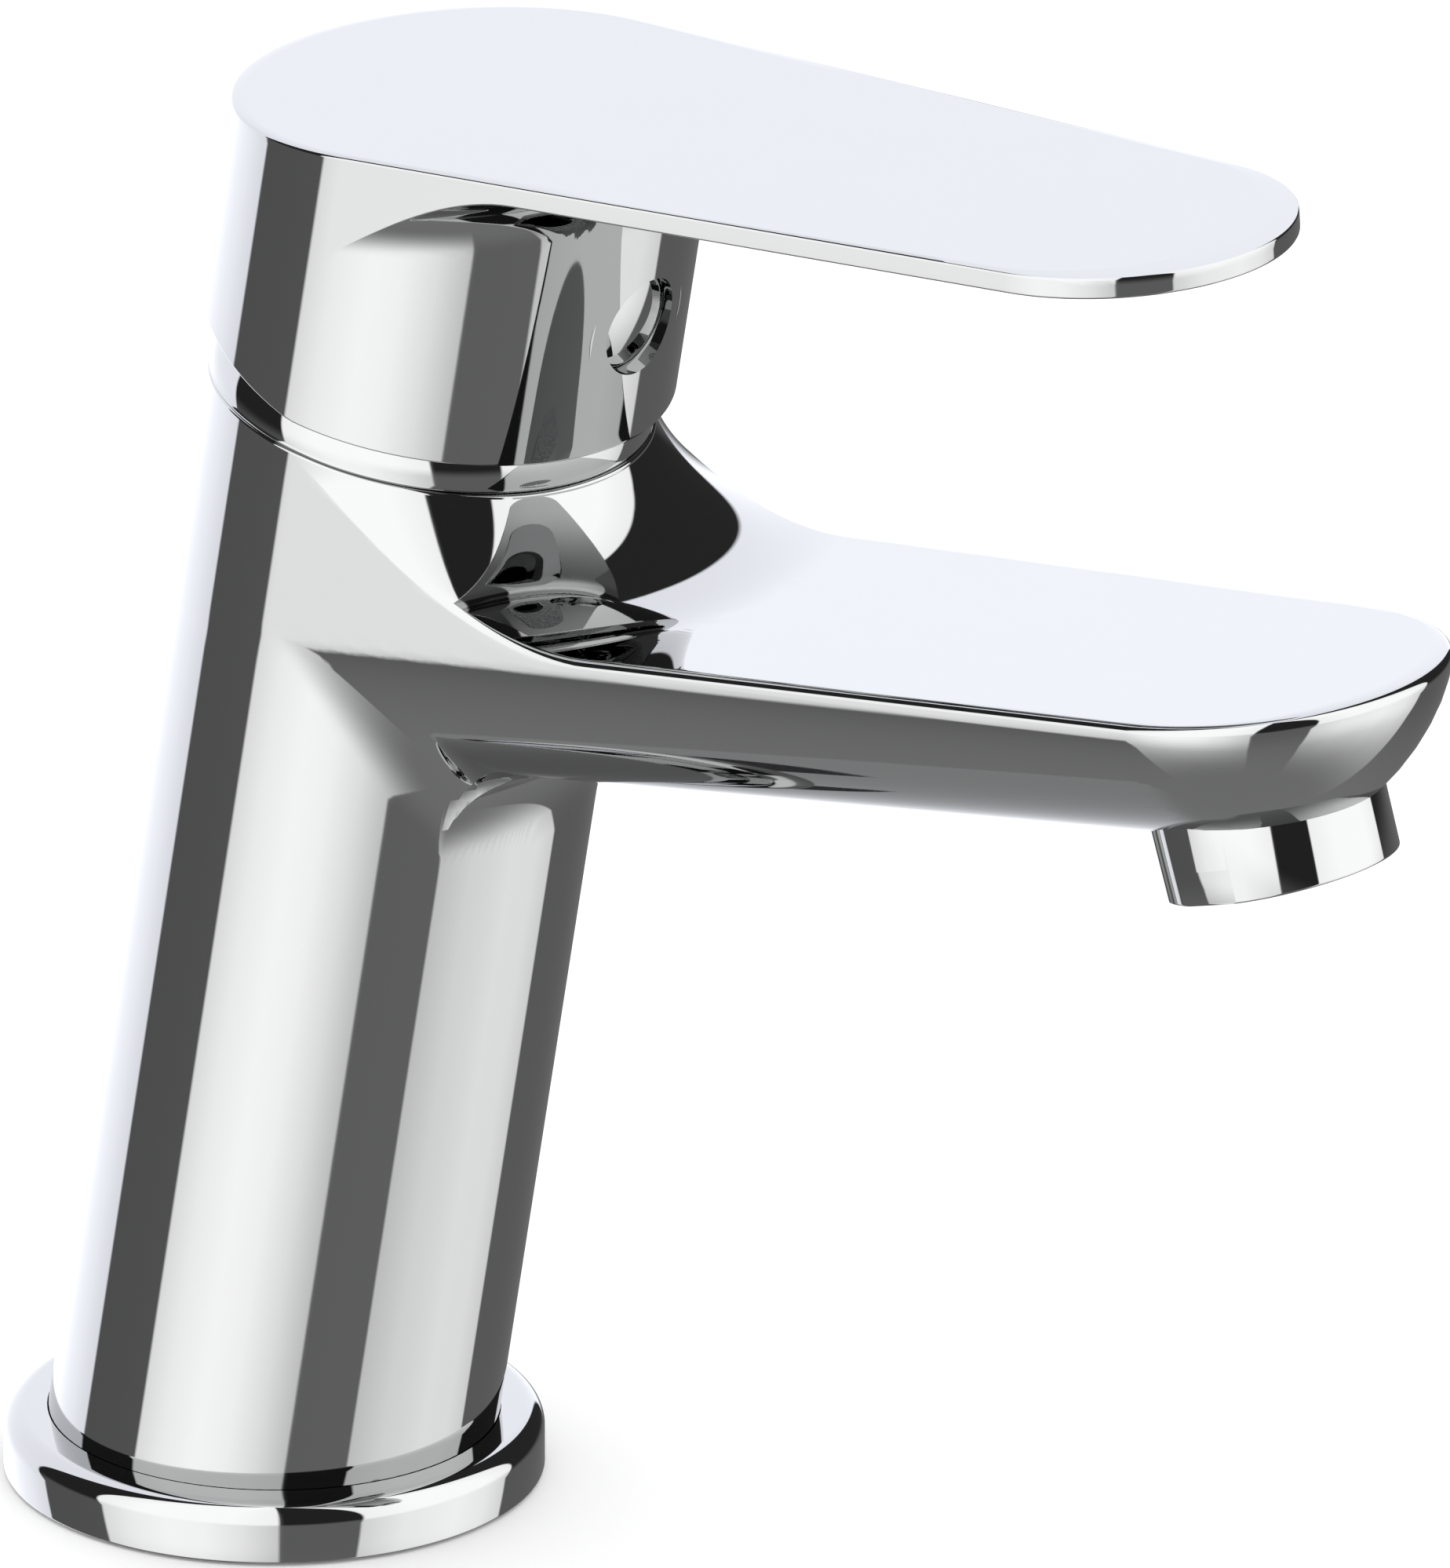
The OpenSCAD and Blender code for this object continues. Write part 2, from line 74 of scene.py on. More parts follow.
LEAN = math.radians(10.0)
RING_TOP = 6.4
BODY_R = 22.5
RIM = 116.6
FOOT_Z = 3.0
LOWER_BORE_R = 19.0
LOWER_BORE_TOP = 58.0
RIM_EDGE = 0.35
NUT_BORE_R = 19.0
NUT_FLOOR = 107.0
SEAT_BORE_R = 17.65
SEAT = 80.0

SPOUT_LEVEL = 97.0
SPOUT_RISE = math.radians(7.8)
SPOUT_REACH = 106.8
SPOUT_TIP_R = 20.3
SPOUT_WALL = 0.9
SPOUT_ROOT_DEPTH = 16.8
SPOUT_TIP_DEPTH = 15.4
SPOUT_ROOT_INSET = 8.7
SPOUT_TIP_INSET = 12.2
SPOUT_FULLNESS = 1.46
SPOUT_EDGE = 0.9
NECK_R = 18.5
UNDER_R = 14.0

SKIRT_R = 24.15
SKIRT_IN_R = 22.15
SKIRT_FOOT = RIM + 4.1
SKIRT_CUT = math.radians(12.0)
LEVER_LEVEL = RIM + 34.2
LEVER_RISE = math.radians(3.7)
LEVER_REACH = 79.4
LEVER_TIP_R = 18.7
LEVER_THICK = 2.3
LEVER_FILLET = 8.5
LEVER_EDGE = 0.35
PLUG_T = RIM + 17.3
PLUG_R = 5.2
PLUG_FLOOR = SKIRT_R - 2.6
PIVOT = RIM - 11.0
STEM_LEAN = LEAN + math.radians(12.5)
STEM_W = 8.1
BOSS_R = 8.5
BOSS_FOOT = 21.0
SCREW_R = 2.52

RING_R = 27.2
RING_BORE_R = 17.5
RING_FOOT = 0.3
RING_SHOULDER = 2.2
STUD_BACK = 12.5
STUD_BOSS_R = 7.5
STUD_BOSS_TOP = 25.0
STUD_HOLE_R = 4.02
STUD_HOLE_TOP = 20.0

INLET_FORWARD = 0.0026
INLET_APART = 0.0068
INLET_R = 4.5
INLET_WAY_R = 2.5
INLET_FLOOR = 57.0
INLET_TOP = 72.0
CHANNEL_R = 5.5
CHANNEL_LONG = 94.0
CHANNEL_TURN = math.radians(81)

OUTLET = np.array([126.9, 0.0, 95.5])
OUTLET_TILT = math.radians(16.4)
AERATOR_R = 12.1
AERATOR_BORE_R = 11.0
AERATOR_LIP_R = 9.7
AERATOR_HIGH = 9.5
FLAT_OUT = 11.6
FLAT_HIGH = 3.6
FLAT_HALF = 4.0

COLLAR_DOME_R = 9.0
COLLAR_BORE_R = 17.6
COLLAR_HIGH = 8.0

AXIS = np.array([math.sin(LEAN), 0.0, math.cos(LEAN)])
ACROSS = np.array([math.cos(LEAN), 0.0, -math.sin(LEAN)])
SIDE = np.array([0.0, 1.0, 0.0])
ROOT = np.array([0.0, 0.0, RING_TOP])


# ---------------------------------------------------------------- fields: distance and direction

def to_axis(p):
    """Forward and sideways distance from the leaning line, and height along it."""
    q = p - ROOT
    return q @ ACROSS, q[..., 1], q @ AXIS


def from_axis(x, y, t):
    x, y, t = np.broadcast_arrays(x, y, t)
    return ROOT + x[..., None] * ACROSS + y[..., None] * SIDE + t[..., None] * AXIS


def measured(f, p, step=0.004):
    """Distance-like value of f at p, and the unit direction in which it grows."""
    slope = np.stack([(f(p + step * e) - f(p - step * e)) / (2 * step) for e in np.eye(3)], -1)
    size = np.maximum(np.linalg.norm(slope, axis=-1), 1e-9)
    return f(p) / size, slope / size[..., None]


def roll(one, two, r):
    """Union of two solids with the concave fillet that a ball of radius r leaves between them."""
    (a, na), (b, nb) = one, two
    cosine = np.clip((na * nb).sum(-1), -0.999, 0.999)
    sine2 = 1 - cosine * cosine
    da, db = r - a, r - b
    alpha = (da - db * cosine) / sine2
    beta = (db - da * cosine) / sine2
    to_centre = alpha[..., None] * na + beta[..., None] * nb
    reach = np.maximum(np.linalg.norm(to_centre, axis=-1), 1e-9)
    rolled = (alpha > 0) & (beta > 0)
    value = np.where(rolled, r - reach, np.minimum(a, b))
    nearest = np.where((a < b)[..., None], na, nb)
    return value, np.where(rolled[..., None], to_centre / reach[..., None], nearest)


def meet(one, two, r):
    """Intersection of two solids with its edge rounded to radius r."""
    value, slope = roll((-one[0], -one[1]), (-two[0], -two[1]), r)
    return -value, -slope


def bar(p, r):
    """A round bar on the leaning line."""
    x, y, _ = to_axis(p)
    rho = np.maximum(np.hypot(x, y), 1e-9)
    slope = (x / rho)[..., None] * ACROSS + (y / rho)[..., None] * SIDE
    return rho - r, slope


def level(value, direction):
    """A half space with the same direction everywhere."""
    return value, np.broadcast_to(direction, value.shape + (3,))


def project(field, p, rounds=7):
    """Moves points on to the surface where the field is zero."""
    for _ in range(rounds):
        value, slope = field(p)
        p = p - value[..., None] * slope
    return p


class Lid:
    """A flat teardrop top that crosses the leaning line at one height and rises forward."""

    def __init__(self, height, rise, root_r, tip_r, reach):
        self.height, self.root_r, self.tip_r, self.reach = height, root_r, tip_r, reach
        self.along = np.array([math.cos(rise), 0.0, math.sin(rise)])
        self.up = np.array([-math.sin(rise), 0.0, math.cos(rise)])
        self.tilt = LEAN + rise
        self.origin = ROOT + height * AXIS

    def above(self, p):
        return (p - self.origin) @ self.up

    def forward(self, p):
        return (p - self.origin) @ self.along

    def share(self, u):
        s = np.clip(u / self.reach, 0, 1)
        return s * s * (3 - 2 * s)

    def outline(self, p):
        """Distance outside the teardrop, whose back follows the leaning bar."""
        x, y, _ = to_axis(p)
        u = self.forward(p)
        u = x + (u - x) * self.share(u)
        side = np.abs(y)
        b = (self.root_r - self.tip_r) / self.reach
        a = math.sqrt(1 - b * b)
        turn = a * u - b * side
        wall = a * side + b * u - self.root_r
        tip = np.hypot(u - self.reach, side) - self.tip_r
        back = np.hypot(u, side) - self.root_r
        return np.where(turn < 0, back, np.where(turn > a * self.reach, tip, wall))

    def plane_t(self, x):
        return self.height + x * math.tan(self.tilt)

    def columns(self, n_side, n_tip, n_back):
        """Plan of the outline, anticlockwise from the near side, as x and y across the line."""
        b = (self.root_r - self.tip_r) / self.reach
        corner = math.acos(b)
        start = self.root_r * np.array([b, -math.sin(corner)])
        end = np.array([self.reach, 0]) + self.tip_r * np.array([b, -math.sin(corner)])
        along = np.arange(n_side)[:, None] / n_side
        near = start + (end - start) * along
        turn = -corner + 2 * corner * np.arange(n_tip) / n_tip
        tip = np.array([self.reach, 0]) + self.tip_r * np.stack([np.cos(turn), np.sin(turn)], -1)
        far = np.array([1, -1]) * (end + (start - end) * along)
        turn = corner + (2 * math.pi - 2 * corner) * np.arange(n_back) / n_back
        back = self.root_r * np.stack([np.cos(turn), np.sin(turn)], -1)
        u, y = np.concatenate([near, tip, far, back]).T
        stretch = 1 / math.cos(self.tilt) - 1
        return u / (1 + stretch * self.share(u)), y


spout = Lid(SPOUT_LEVEL, SPOUT_RISE, BODY_R, SPOUT_TIP_R, SPOUT_REACH)
lever = Lid(LEVER_LEVEL, LEVER_RISE, SKIRT_R, LEVER_TIP_R, LEVER_REACH)


# ---------------------------------------------------------------- the body's surface

def neck_circle(theta):
    """Section of the sweep from the rim to the spout's top, for a cut at each angle."""
    slope = math.tan(spout.tilt) * np.cos(theta)
    tip = np.arctan(slope)
    sine, cosine = np.sin(tip), np.cos(tip)
    rim_h = RIM - SPOUT_LEVEL - BODY_R * slope
    reach = NECK_R * (1 + sine) / cosine
    over = reach * sine + NECK_R * cosine > rim_h
    root = np.maximum(2 * rim_h * NECK_R * cosine - (rim_h * cosine) ** 2, 0)
    reach = np.where(over, rim_h * sine + np.sqrt(root), reach)
    centre_s = reach * cosine - NECK_R * sine
    centre_t = reach * sine + NECK_R * cosine
    return slope, sine, cosine, reach, centre_s, centre_t


def neck_value(p):
    x, y, t = to_axis(p)
    slope, sine, cosine, reach, centre_s, centre_t = neck_circle(np.arctan2(y, x))
    s = np.hypot(x, y) - BODY_R
    h = t - SPOUT_LEVEL - BODY_R * slope
    sweep = NECK_R - np.hypot(s - centre_s, h - centre_t)
    plane = h * cosine - s * sine
    past = s * cosine + h * sine > reach
    return np.where(past, plane, np.where(h > centre_t, s, sweep))


def spout_depth(u):
    return SPOUT_ROOT_DEPTH + (SPOUT_TIP_DEPTH - SPOUT_ROOT_DEPTH) * u / SPOUT_REACH


def spout_under(p):
    """The spout's walls, which curve in under it to a narrow flat underside."""
    depth = -spout.above(p)
    outside = spout.outline(p)
    u = spout.forward(p)
    full = spout_depth(u)
    inset = SPOUT_ROOT_INSET + (SPOUT_TIP_INSET - SPOUT_ROOT_INSET) * np.clip(u / SPOUT_REACH, 0, 1)
    across = np.maximum(outside + inset, 0) / inset
    down = np.maximum(depth - SPOUT_WALL, 0) / (full - SPOUT_WALL)
    size = (across ** SPOUT_FULLNESS + down ** SPOUT_FULLNESS) ** (1 / SPOUT_FULLNESS)
    plain = np.maximum(outside, depth - full)
    return np.where(size < 0.3, plain, (size - 1) * inset)


def body_field(p):
    low = roll(bar(p, BODY_R), measured(spout_under, p), UNDER_R)
    return meet(measured(neck_value, p), low, SPOUT_EDGE)


# ---------------------------------------------------------------- the handle's surface

def handle_field(p):
    x, _, t = to_axis(p)
    above = lever.above(p)
    top = meet(level(above, lever.up), measured(lever.outline, p), LEVER_EDGE)
    low = roll(level(-above - LEVER_THICK, -lever.up), bar(p, SKIRT_R), LEVER_FILLET)
    shape = meet(top, low, 0.3)
    cut = math.tan(SKIRT_CUT)
    flat = SKIRT_FOOT - t
    sloped = (flat - x * cut) * math.cos(SKIRT_CUT)
    down = -(AXIS + cut * ACROSS) * math.cos(SKIRT_CUT)
    back = (x < 0)[..., None]
    foot = np.where(x < 0, sloped, flat), np.where(back, down, -AXIS)
    return meet(shape, foot, 0.25)


# ---------------------------------------------------------------- rows and columns

def spread(field, dense, count, pull=10.0):
    """Resamples each column's line at count + 1 points, closer together where it bends."""
    dense = project(field, dense)
    _, slope = field(dense)
    step = np.linalg.norm(np.diff(dense, axis=1), axis=-1)
    bend = np.linalg.norm(np.diff(slope, axis=1), axis=-1)
    load = np.concatenate([np.zeros((len(dense), 1)), np.cumsum(step + pull * bend, axis=1)], 1)
    out = np.empty((len(dense), count + 1, 3))
    for i, (line, sums) in enumerate(zip(dense, load)):
        sums = sums + np.arange(len(sums)) * 1e-9
        at = np.linspace(0, sums[-1], count + 1)
        for k in range(3):
            out[i, :, k] = np.interp(at, sums, line[:, k])
    return project(field, out, 4)


def ramp(start, end, count):
    """Values from start to end for every column."""
    start, end = np.broadcast_arrays(start, end)
    return start[:, None] + (end - start)[:, None] * np.linspace(0, 1, count)


def polar(theta, rho, t):
    """Points at distance rho and height t on each column's own cut."""
    return from_axis(rho * np.cos(theta)[:, None], rho * np.sin(theta)[:, None], t)


def inward(lid, theta, rho, inset, depth):
    """Distance from the line at which each cut is inset from the outline, not inside the bar."""
    out = np.empty((len(theta), len(inset)))
    for i, angle in enumerate(theta):
        rhos = np.linspace(lid.root_r, max(rho[i], lid.root_r + 1e-6), 200)
        x = rhos * math.cos(angle)
        spots = from_axis(x, rhos * math.sin(angle), lid.plane_t(x) - depth)
        outside = np.maximum.accumulate(lid.outline(spots))
        out[i] = np.interp(-inset, outside + np.arange(200) * 1e-9, rhos)
    return out


def upper_lines(theta, rho):
    """From just under the rim, down the neck and out to the spout's edge, and that edge's height."""
    slope, sine, cosine, reach, centre_s, centre_t = neck_circle(theta)
    base_t = SPOUT_LEVEL + BODY_R * slope
    edge_s = rho - BODY_R
    start = np.arccos(np.clip(centre_s / NECK_R, -1, 1))
    foot = math.pi / 2 + np.arctan(slope)
    trim = np.arccos(np.clip((centre_s - edge_s) / NECK_R, -1, 1))
    end = np.where(edge_s < reach * cosine, np.minimum(trim, foot), foot)
    turn = ramp(start, np.maximum(end, start), 70)
    arc_s = centre_s[:, None] - NECK_R * np.cos(turn)
    arc_t = centre_t[:, None] - NECK_R * np.sin(turn) + base_t[:, None]
    top_t = RIM - RIM_EDGE
    rim_t = ramp(np.full_like(rho, top_t), np.minimum(arc_t[:, 0], top_t), 20)
    flat_s = ramp(arc_s[:, -1], np.maximum(edge_s, arc_s[:, -1]), 90)
    sloped_t = base_t[:, None] + flat_s * slope[:, None]
    flat_t = np.where((edge_s > reach * cosine)[:, None], sloped_t, arc_t[:, -1:])
    keep = arc_t < top_t
    arc_t = np.where(keep, arc_t, top_t)
    first = np.argmax(keep, axis=1)
    arc_s = np.where(keep, arc_s, arc_s[np.arange(len(first)), first][:, None])
    rim_s = np.repeat(arc_s[:, :1], 20, axis=1)
    upper_s = np.concatenate([rim_s, arc_s, flat_s], 1)
    upper_t = np.concatenate([rim_t, arc_t, flat_t], 1)
    return polar(theta, upper_s + BODY_R, upper_t), upper_t[:, -1]


def foot_height(r, theta):
    """Height along the leaning line where a bar of radius r is cut level at the body's foot."""
    return (FOOT_Z - RING_TOP + math.sin(LEAN) * r * np.cos(theta)) / math.cos(LEAN)


def lower_lines(theta, rho, x, edge_t):
    """From the spout's edge, in under the spout, back to the bar and down to its foot."""
    angle = np.linspace(0, math.pi / 2, 60)
    bend = 2 / SPOUT_FULLNESS
    tilt = math.cos(spout.tilt)
    inset = SPOUT_TIP_INSET * (1 - np.cos(angle) ** bend)
    wall_t = ramp(edge_t, spout.plane_t(x) - SPOUT_WALL / tilt, 30)
    under_rho = inward(spout, theta, rho, inset, SPOUT_WALL)
    under_x = under_rho * np.cos(theta)[:, None]
    full = spout_depth(under_x / tilt)
    depth = SPOUT_WALL + (full - SPOUT_WALL) * np.sin(angle) ** bend
    under_t = spout.plane_t(under_x) - depth / tilt
    back_rho = ramp(under_rho[:, -1], np.full_like(rho, BODY_R), 60)
    back_x = back_rho * np.cos(theta)[:, None]
    back_t = spout.plane_t(back_x) - spout_depth(back_x / tilt) / tilt
    down_t = ramp(back_t[:, -1], foot_height(BODY_R, theta), 90)
    wall_rho = np.repeat(rho[:, None], 30, 1)
    down_rho = np.full((len(rho), 90), BODY_R)
    lower_rho = np.concatenate([wall_rho, under_rho, back_rho, down_rho], 1)
    return polar(theta, lower_rho, np.concatenate([wall_t, under_t, back_t, down_t], 1))


def body_lines(x, y):
    """Columns of the body from just under the rim to the foot, with a row along the top edge."""
    theta, rho = np.arctan2(y, x), np.maximum(np.hypot(x, y), BODY_R)
    upper, edge_t = upper_lines(theta, rho)
    upper = spread(body_field, upper, 36)
    lower = spread(body_field, lower_lines(theta, rho, x, edge_t), 66)
    lower[:, 0] = upper[:, -1]
    return theta, upper, lower[:, 1:]


def grid_mesh(name, rows, top_pole, bottom_pole):
    """A closed skin from rings of points, ending in a point at each end."""
    count, n = len(rows), len(rows[0])
    points = np.concatenate([np.asarray(rows).reshape(-1, 3), [top_pole], [bottom_pole]])
    faces = []
    for i in range(count - 1):
        for j in range(n):
            k = (j + 1) % n
            faces.append((i * n + j, (i + 1) * n + j, (i + 1) * n + k, i * n + k))
    top, bottom, last = count * n, count * n + 1, (count - 1) * n
    for j in range(n):
        k = (j + 1) % n
        faces.append((top, j, k))
        faces.append((bottom, last + k, last + j))
    return new_object(name, points, faces)


def new_object(name, points, faces):
    mesh = bpy.data.meshes.new(name)
    mesh.from_pydata((np.asarray(points) * MM).tolist(), [], faces)
    mesh.validate()
    obj = bpy.data.objects.new(name, mesh)
    bpy.context.scene.collection.objects.link(obj)
    return obj


def rings(theta, stations):
    """Rings of points at the given (radius, height) stations; a height may differ by column."""
    out = []
    for rho, t in stations:
        rho = np.broadcast_to(np.asarray(rho, float), theta.shape)
        out.append(from_axis(rho * np.cos(theta), rho * np.sin(theta), t))
    return out


def join_meshes(obj, tool, how):
    """Adds, cuts or keeps the common part of a tool, which is then gone."""
    step = obj.modifiers.new("step", "BOOLEAN")
    step.operation, step.object, step.solver = how, tool, "EXACT"
    bpy.context.view_layer.update()
    result = bpy.data.meshes.new_from_object(
        obj.evaluated_get(bpy.context.evaluated_depsgraph_get())
    )
    obj.modifiers.clear()
    obj.data = result
    bpy.data.objects.remove(tool)
    return obj


def smooth(obj, field=None, angle=30):
    """Smooth shading with sharp edges by angle, and exact directions on a field's own surface."""
    mesh = obj.data
    mesh.polygons.foreach_set("use_smooth", [True] * len(mesh.polygons))
    mesh.set_sharp_from_angle(angle=math.radians(angle))
    if field is None:
        return obj
    corners = np.zeros(len(mesh.loops) * 3, np.float32)
    mesh.corner_normals.foreach_get("vector", corners)
    corners = corners.reshape(-1, 3).astype(float)
    spots = np.zeros(len(mesh.vertices) * 3)
    mesh.vertices.foreach_get("co", spots)
    value, slope = field(spots.reshape(-1, 3) / MM)
    near = np.abs(value) < 0.02
    owner = np.zeros(len(mesh.loops), int)
    mesh.loops.foreach_get("vertex_index", owner)
    sizes = np.zeros(len(mesh.polygons), int)
    mesh.polygons.foreach_get("loop_total", sizes)
    face = np.repeat(np.arange(len(sizes)), sizes)
    facing = np.zeros(len(mesh.polygons) * 3)
    mesh.polygons.foreach_get("normal", facing)
    facing = facing.reshape(-1, 3)
    agree = near[owner] & ((facing[face] * slope[owner]).sum(-1) > 0.8)
    whole = np.bincount(face, weights=agree, minlength=len(sizes)) == sizes
    use = whole[face]
    corners[use] = slope[owner[use]]
    mesh.normals_split_custom_set(corners.tolist())
    return obj


# ---------------------------------------------------------------- turned pieces

def arc(centre, r, start, end, count=8):
    """Points of a round edge in a turned profile, from one direction to another in degrees."""
    out = []
    for i in range(count + 1):
        a = math.radians(start + (end - start) * i / count)
        out.append((centre[0] + r * math.cos(a), centre[1] + r * math.sin(a)))
    return out


def turned(name, profile, place, segments=192, cap=False):
    """A solid turned from a closed profile of (radius, height) points, put in place."""
    n = len(profile)
    points, faces, index = [], [], []
    for r, z in profile:
        if r < 1e-6:
            index.append([len(points)] * segments)
            points.append((0.0, 0.0, z))
            continue
        index.append(list(range(len(points), len(points) + segments)))
        for j in range(segments):
            a = 2 * math.pi * j / segments
            points.append((r * math.cos(a), r * math.sin(a), z))
    for i in range(n):
        a, b = index[i], index[(i + 1) % n]
        for j in range(segments):
            k = (j + 1) % segments
            corners = []
            for v in (a[j], a[k], b[k], b[j]):
                if v not in corners:
                    corners.append(v)
            if len(corners) > 2:
                faces.append(tuple(corners))
    obj = new_object(name, points, faces)
    obj.data.transform(place)
    return obj


def leaning(t):
    """Places a turned piece on the leaning line at height t."""
    spot = Matrix.Translation(Vector((ROOT + t * AXIS) * MM))
    return spot @ Matrix.Rotation(LEAN, 4, "Y")


def at_outlet(w=0.0):
    """Places a turned piece on the outlet's tilted line."""
    turn = Matrix.Rotation(-OUTLET_TILT, 4, "Y")
    return Matrix.Translation(Vector(OUTLET * MM)) @ turn @ Matrix.Translation((0, 0, w * MM))


def facing_forward(t):
    """Places a turned piece on the line that points forward out of the handle at height t."""
    return leaning(t) @ Matrix.Rotation(math.pi / 2, 4, "Y")


# ---------------------------------------------------------------- body

def leaning_bar(r, low_z, high_t):
    """A round bar on the leaning line whose lower end is cut level at low_z."""
    theta = np.arange(96) * 2 * math.pi / 96
    low_t = (low_z - RING_TOP + math.sin(LEAN) * r * np.cos(theta)) / math.cos(LEAN)
    rows = rings(theta, [(r, high_t), (r, low_t)])
    low = from_axis(0.0, 0.0, (low_z - RING_TOP) / math.cos(LEAN))
    return grid_mesh("tool", rows, from_axis(0.0, 0.0, high_t), low)


def rod(r, low, high, place, segments=96):
    """A plain round bar, used only to add to or cut another piece."""
    return turned("tool", [(0, low), (r, low), (r, high), (0, high)], place, segments)


def upright(x):
    return Matrix.Translation((x * MM, 0, 0))


def body_skin():
    """The casting's outside, closed over the rim by the seat and under the foot by the bore."""
    x, y = spout.columns(84, 60, 64)
    theta, upper, lower = body_lines(x, y)
    rho = np.linalg.norm(np.stack(to_axis(upper[:, 0])[:2], -1), axis=-1)
    rows = rings(theta, [
        (SEAT_BORE_R, SEAT), (SEAT_BORE_R, NUT_FLOOR), (NUT_BORE_R, NUT_FLOOR),
        (NUT_BORE_R, RIM - 0.3), (NUT_BORE_R + 0.3, RIM), (rho - RIM_EDGE, RIM),
    ])
    for turn in (72, 54, 36, 18):
        a = math.radians(turn)
        edge_rho = rho - RIM_EDGE * (1 - math.cos(a))
        rows += rings(theta, [(edge_rho, RIM - RIM_EDGE * (1 - math.sin(a)))])
    rows += list(np.swapaxes(upper, 0, 1)) + list(np.swapaxes(lower, 0, 1))
    foot_t = foot_height(LOWER_BORE_R, theta)
    rows += rings(theta, [(LOWER_BORE_R, foot_t), (LOWER_BORE_R, LOWER_BORE_TOP)])
    top = from_axis(0.0, 0.0, SEAT)
    bottom = from_axis(0.0, 0.0, LOWER_BORE_TOP)
    return grid_mesh("body_casting", rows, top, bottom)


def add_stud_boss(obj):
    """The boss inside the body that takes the mounting stud, with its hole."""
    boss = rod(STUD_BOSS_R, FOOT_Z, STUD_BOSS_TOP, upright(-STUD_BACK))
    join_meshes(boss, leaning_bar(22.0, -20, 60), "INTERSECT")
    join_meshes(obj, boss, "UNION")
    hole = rod(STUD_HOLE_R, FOOT_Z - 1, STUD_HOLE_TOP, upright(-STUD_BACK))
    join_meshes(obj, hole, "DIFFERENCE")


def cut_outlet(obj):
    """The recess for the aerator, with the nipple that it screws on to."""
    nipple_r, seat_r, recess_r = 10.95, 9.3, 12.2
    nipple_foot, recess_top, seat_top = 4.5, 9.8, 13.5
    recess = [
        (0, -6), (recess_r, -6), (recess_r, recess_top), (nipple_r, recess_top),
        (nipple_r, nipple_foot), (seat_r, nipple_foot), (seat_r, seat_top), (0, seat_top),
    ]
    join_meshes(obj, turned("tool", recess, at_outlet()), "DIFFERENCE")


def cut_water_ways(obj):
    """The channel along the spout and the two hose inlets under the cartridge."""
    channel = Matrix.Translation((0.029, 0, 0.094)) @ Matrix.Rotation(CHANNEL_TURN, 4, "Y")
    join_meshes(obj, rod(CHANNEL_R, 0, CHANNEL_LONG, channel), "DIFFERENCE")
    steps = [
        (0, INLET_FLOOR), (INLET_R, INLET_FLOOR), (INLET_R, INLET_TOP),
        (INLET_WAY_R, INLET_TOP), (INLET_WAY_R, SEAT + 1), (0, SEAT + 1),
    ]
    for side in (-1, 1):
        inlet = leaning(0) @ Matrix.Translation((INLET_FORWARD, side * INLET_APART, 0))
        join_meshes(obj, turned("tool", steps, inlet, 48), "DIFFERENCE")


def make_body():
    obj = body_skin()
    add_stud_boss(obj)
    cut_outlet(obj)
    cut_water_ways(obj)
    return smooth(obj, body_field)


# ---------------------------------------------------------------- handle

def handle_under(theta, rho):
    """From the plate's lower edge, in under it and down the skirt, and that edge's height."""
    slope = math.tan(lever.tilt) * np.cos(theta)
    tip = np.arctan(slope)
    sine, cosine = np.sin(tip), np.cos(tip)
    edge_s = rho - SKIRT_R
    base_t = lever.plane_t(SKIRT_R * np.cos(theta)) - LEVER_THICK / math.cos(lever.tilt)
    centre_t = -LEVER_FILLET * (1 - sine) / cosine
    reach_s = (LEVER_FILLET * cosine + centre_t * sine) * cosine
    inside = edge_s < reach_s
    turn_end = math.pi / 2 - tip
    turn = np.arccos(np.clip((LEVER_FILLET - edge_s) / LEVER_FILLET, -1, 1))
    turn = np.where(inside, np.minimum(turn, turn_end), turn_end)
    low_t = np.where(inside, centre_t + LEVER_FILLET * np.sin(turn), slope * edge_s) + base_t
    arc_turn = ramp(turn, np.zeros_like(turn), 50)
    arc_s = LEVER_FILLET * (1 - np.cos(arc_turn))
    arc_t = centre_t[:, None] + LEVER_FILLET * np.sin(arc_turn) + base_t[:, None]
    flat_s = ramp(np.maximum(edge_s, arc_s[:, 0]), arc_s[:, 0], 80)
    sloped_t = base_t[:, None] + flat_s * slope[:, None]
    flat_t = np.where(inside[:, None], low_t[:, None], sloped_t)
    foot_t = SKIRT_FOOT - np.minimum(SKIRT_R * np.cos(theta), 0) * math.tan(SKIRT_CUT)
    down_t = ramp(arc_t[:, -1], foot_t, 60)
    under_s = np.concatenate([flat_s, arc_s, np.zeros((len(rho), 60))], 1)
    under_t = np.concatenate([flat_t, arc_t, down_t], 1)
    return polar(theta, under_s + SKIRT_R, under_t), low_t


def handle_lines(x, y):
    """Columns of the handle: top, plate side, and underside with the skirt."""
    theta, rho = np.arctan2(y, x), np.maximum(np.hypot(x, y), SKIRT_R)
    edge_t = lever.plane_t(rho * np.cos(theta))
    top_rho = ramp(np.full_like(rho, 0.5), rho, 120)
    top = polar(theta, top_rho, lever.plane_t(top_rho * np.cos(theta)[:, None]))
    under, low_t = handle_under(theta, rho)
    side = polar(theta, np.repeat(rho[:, None], 40, 1), ramp(edge_t, low_t, 40))
    top = spread(handle_field, top, 16, 3.0)
    side = spread(handle_field, side, 14)
    under = spread(handle_field, under, 44)
    side[:, 0], under[:, 0] = top[:, -1], side[:, -1]
    return theta, top, side[:, 1:], under[:, 1:]


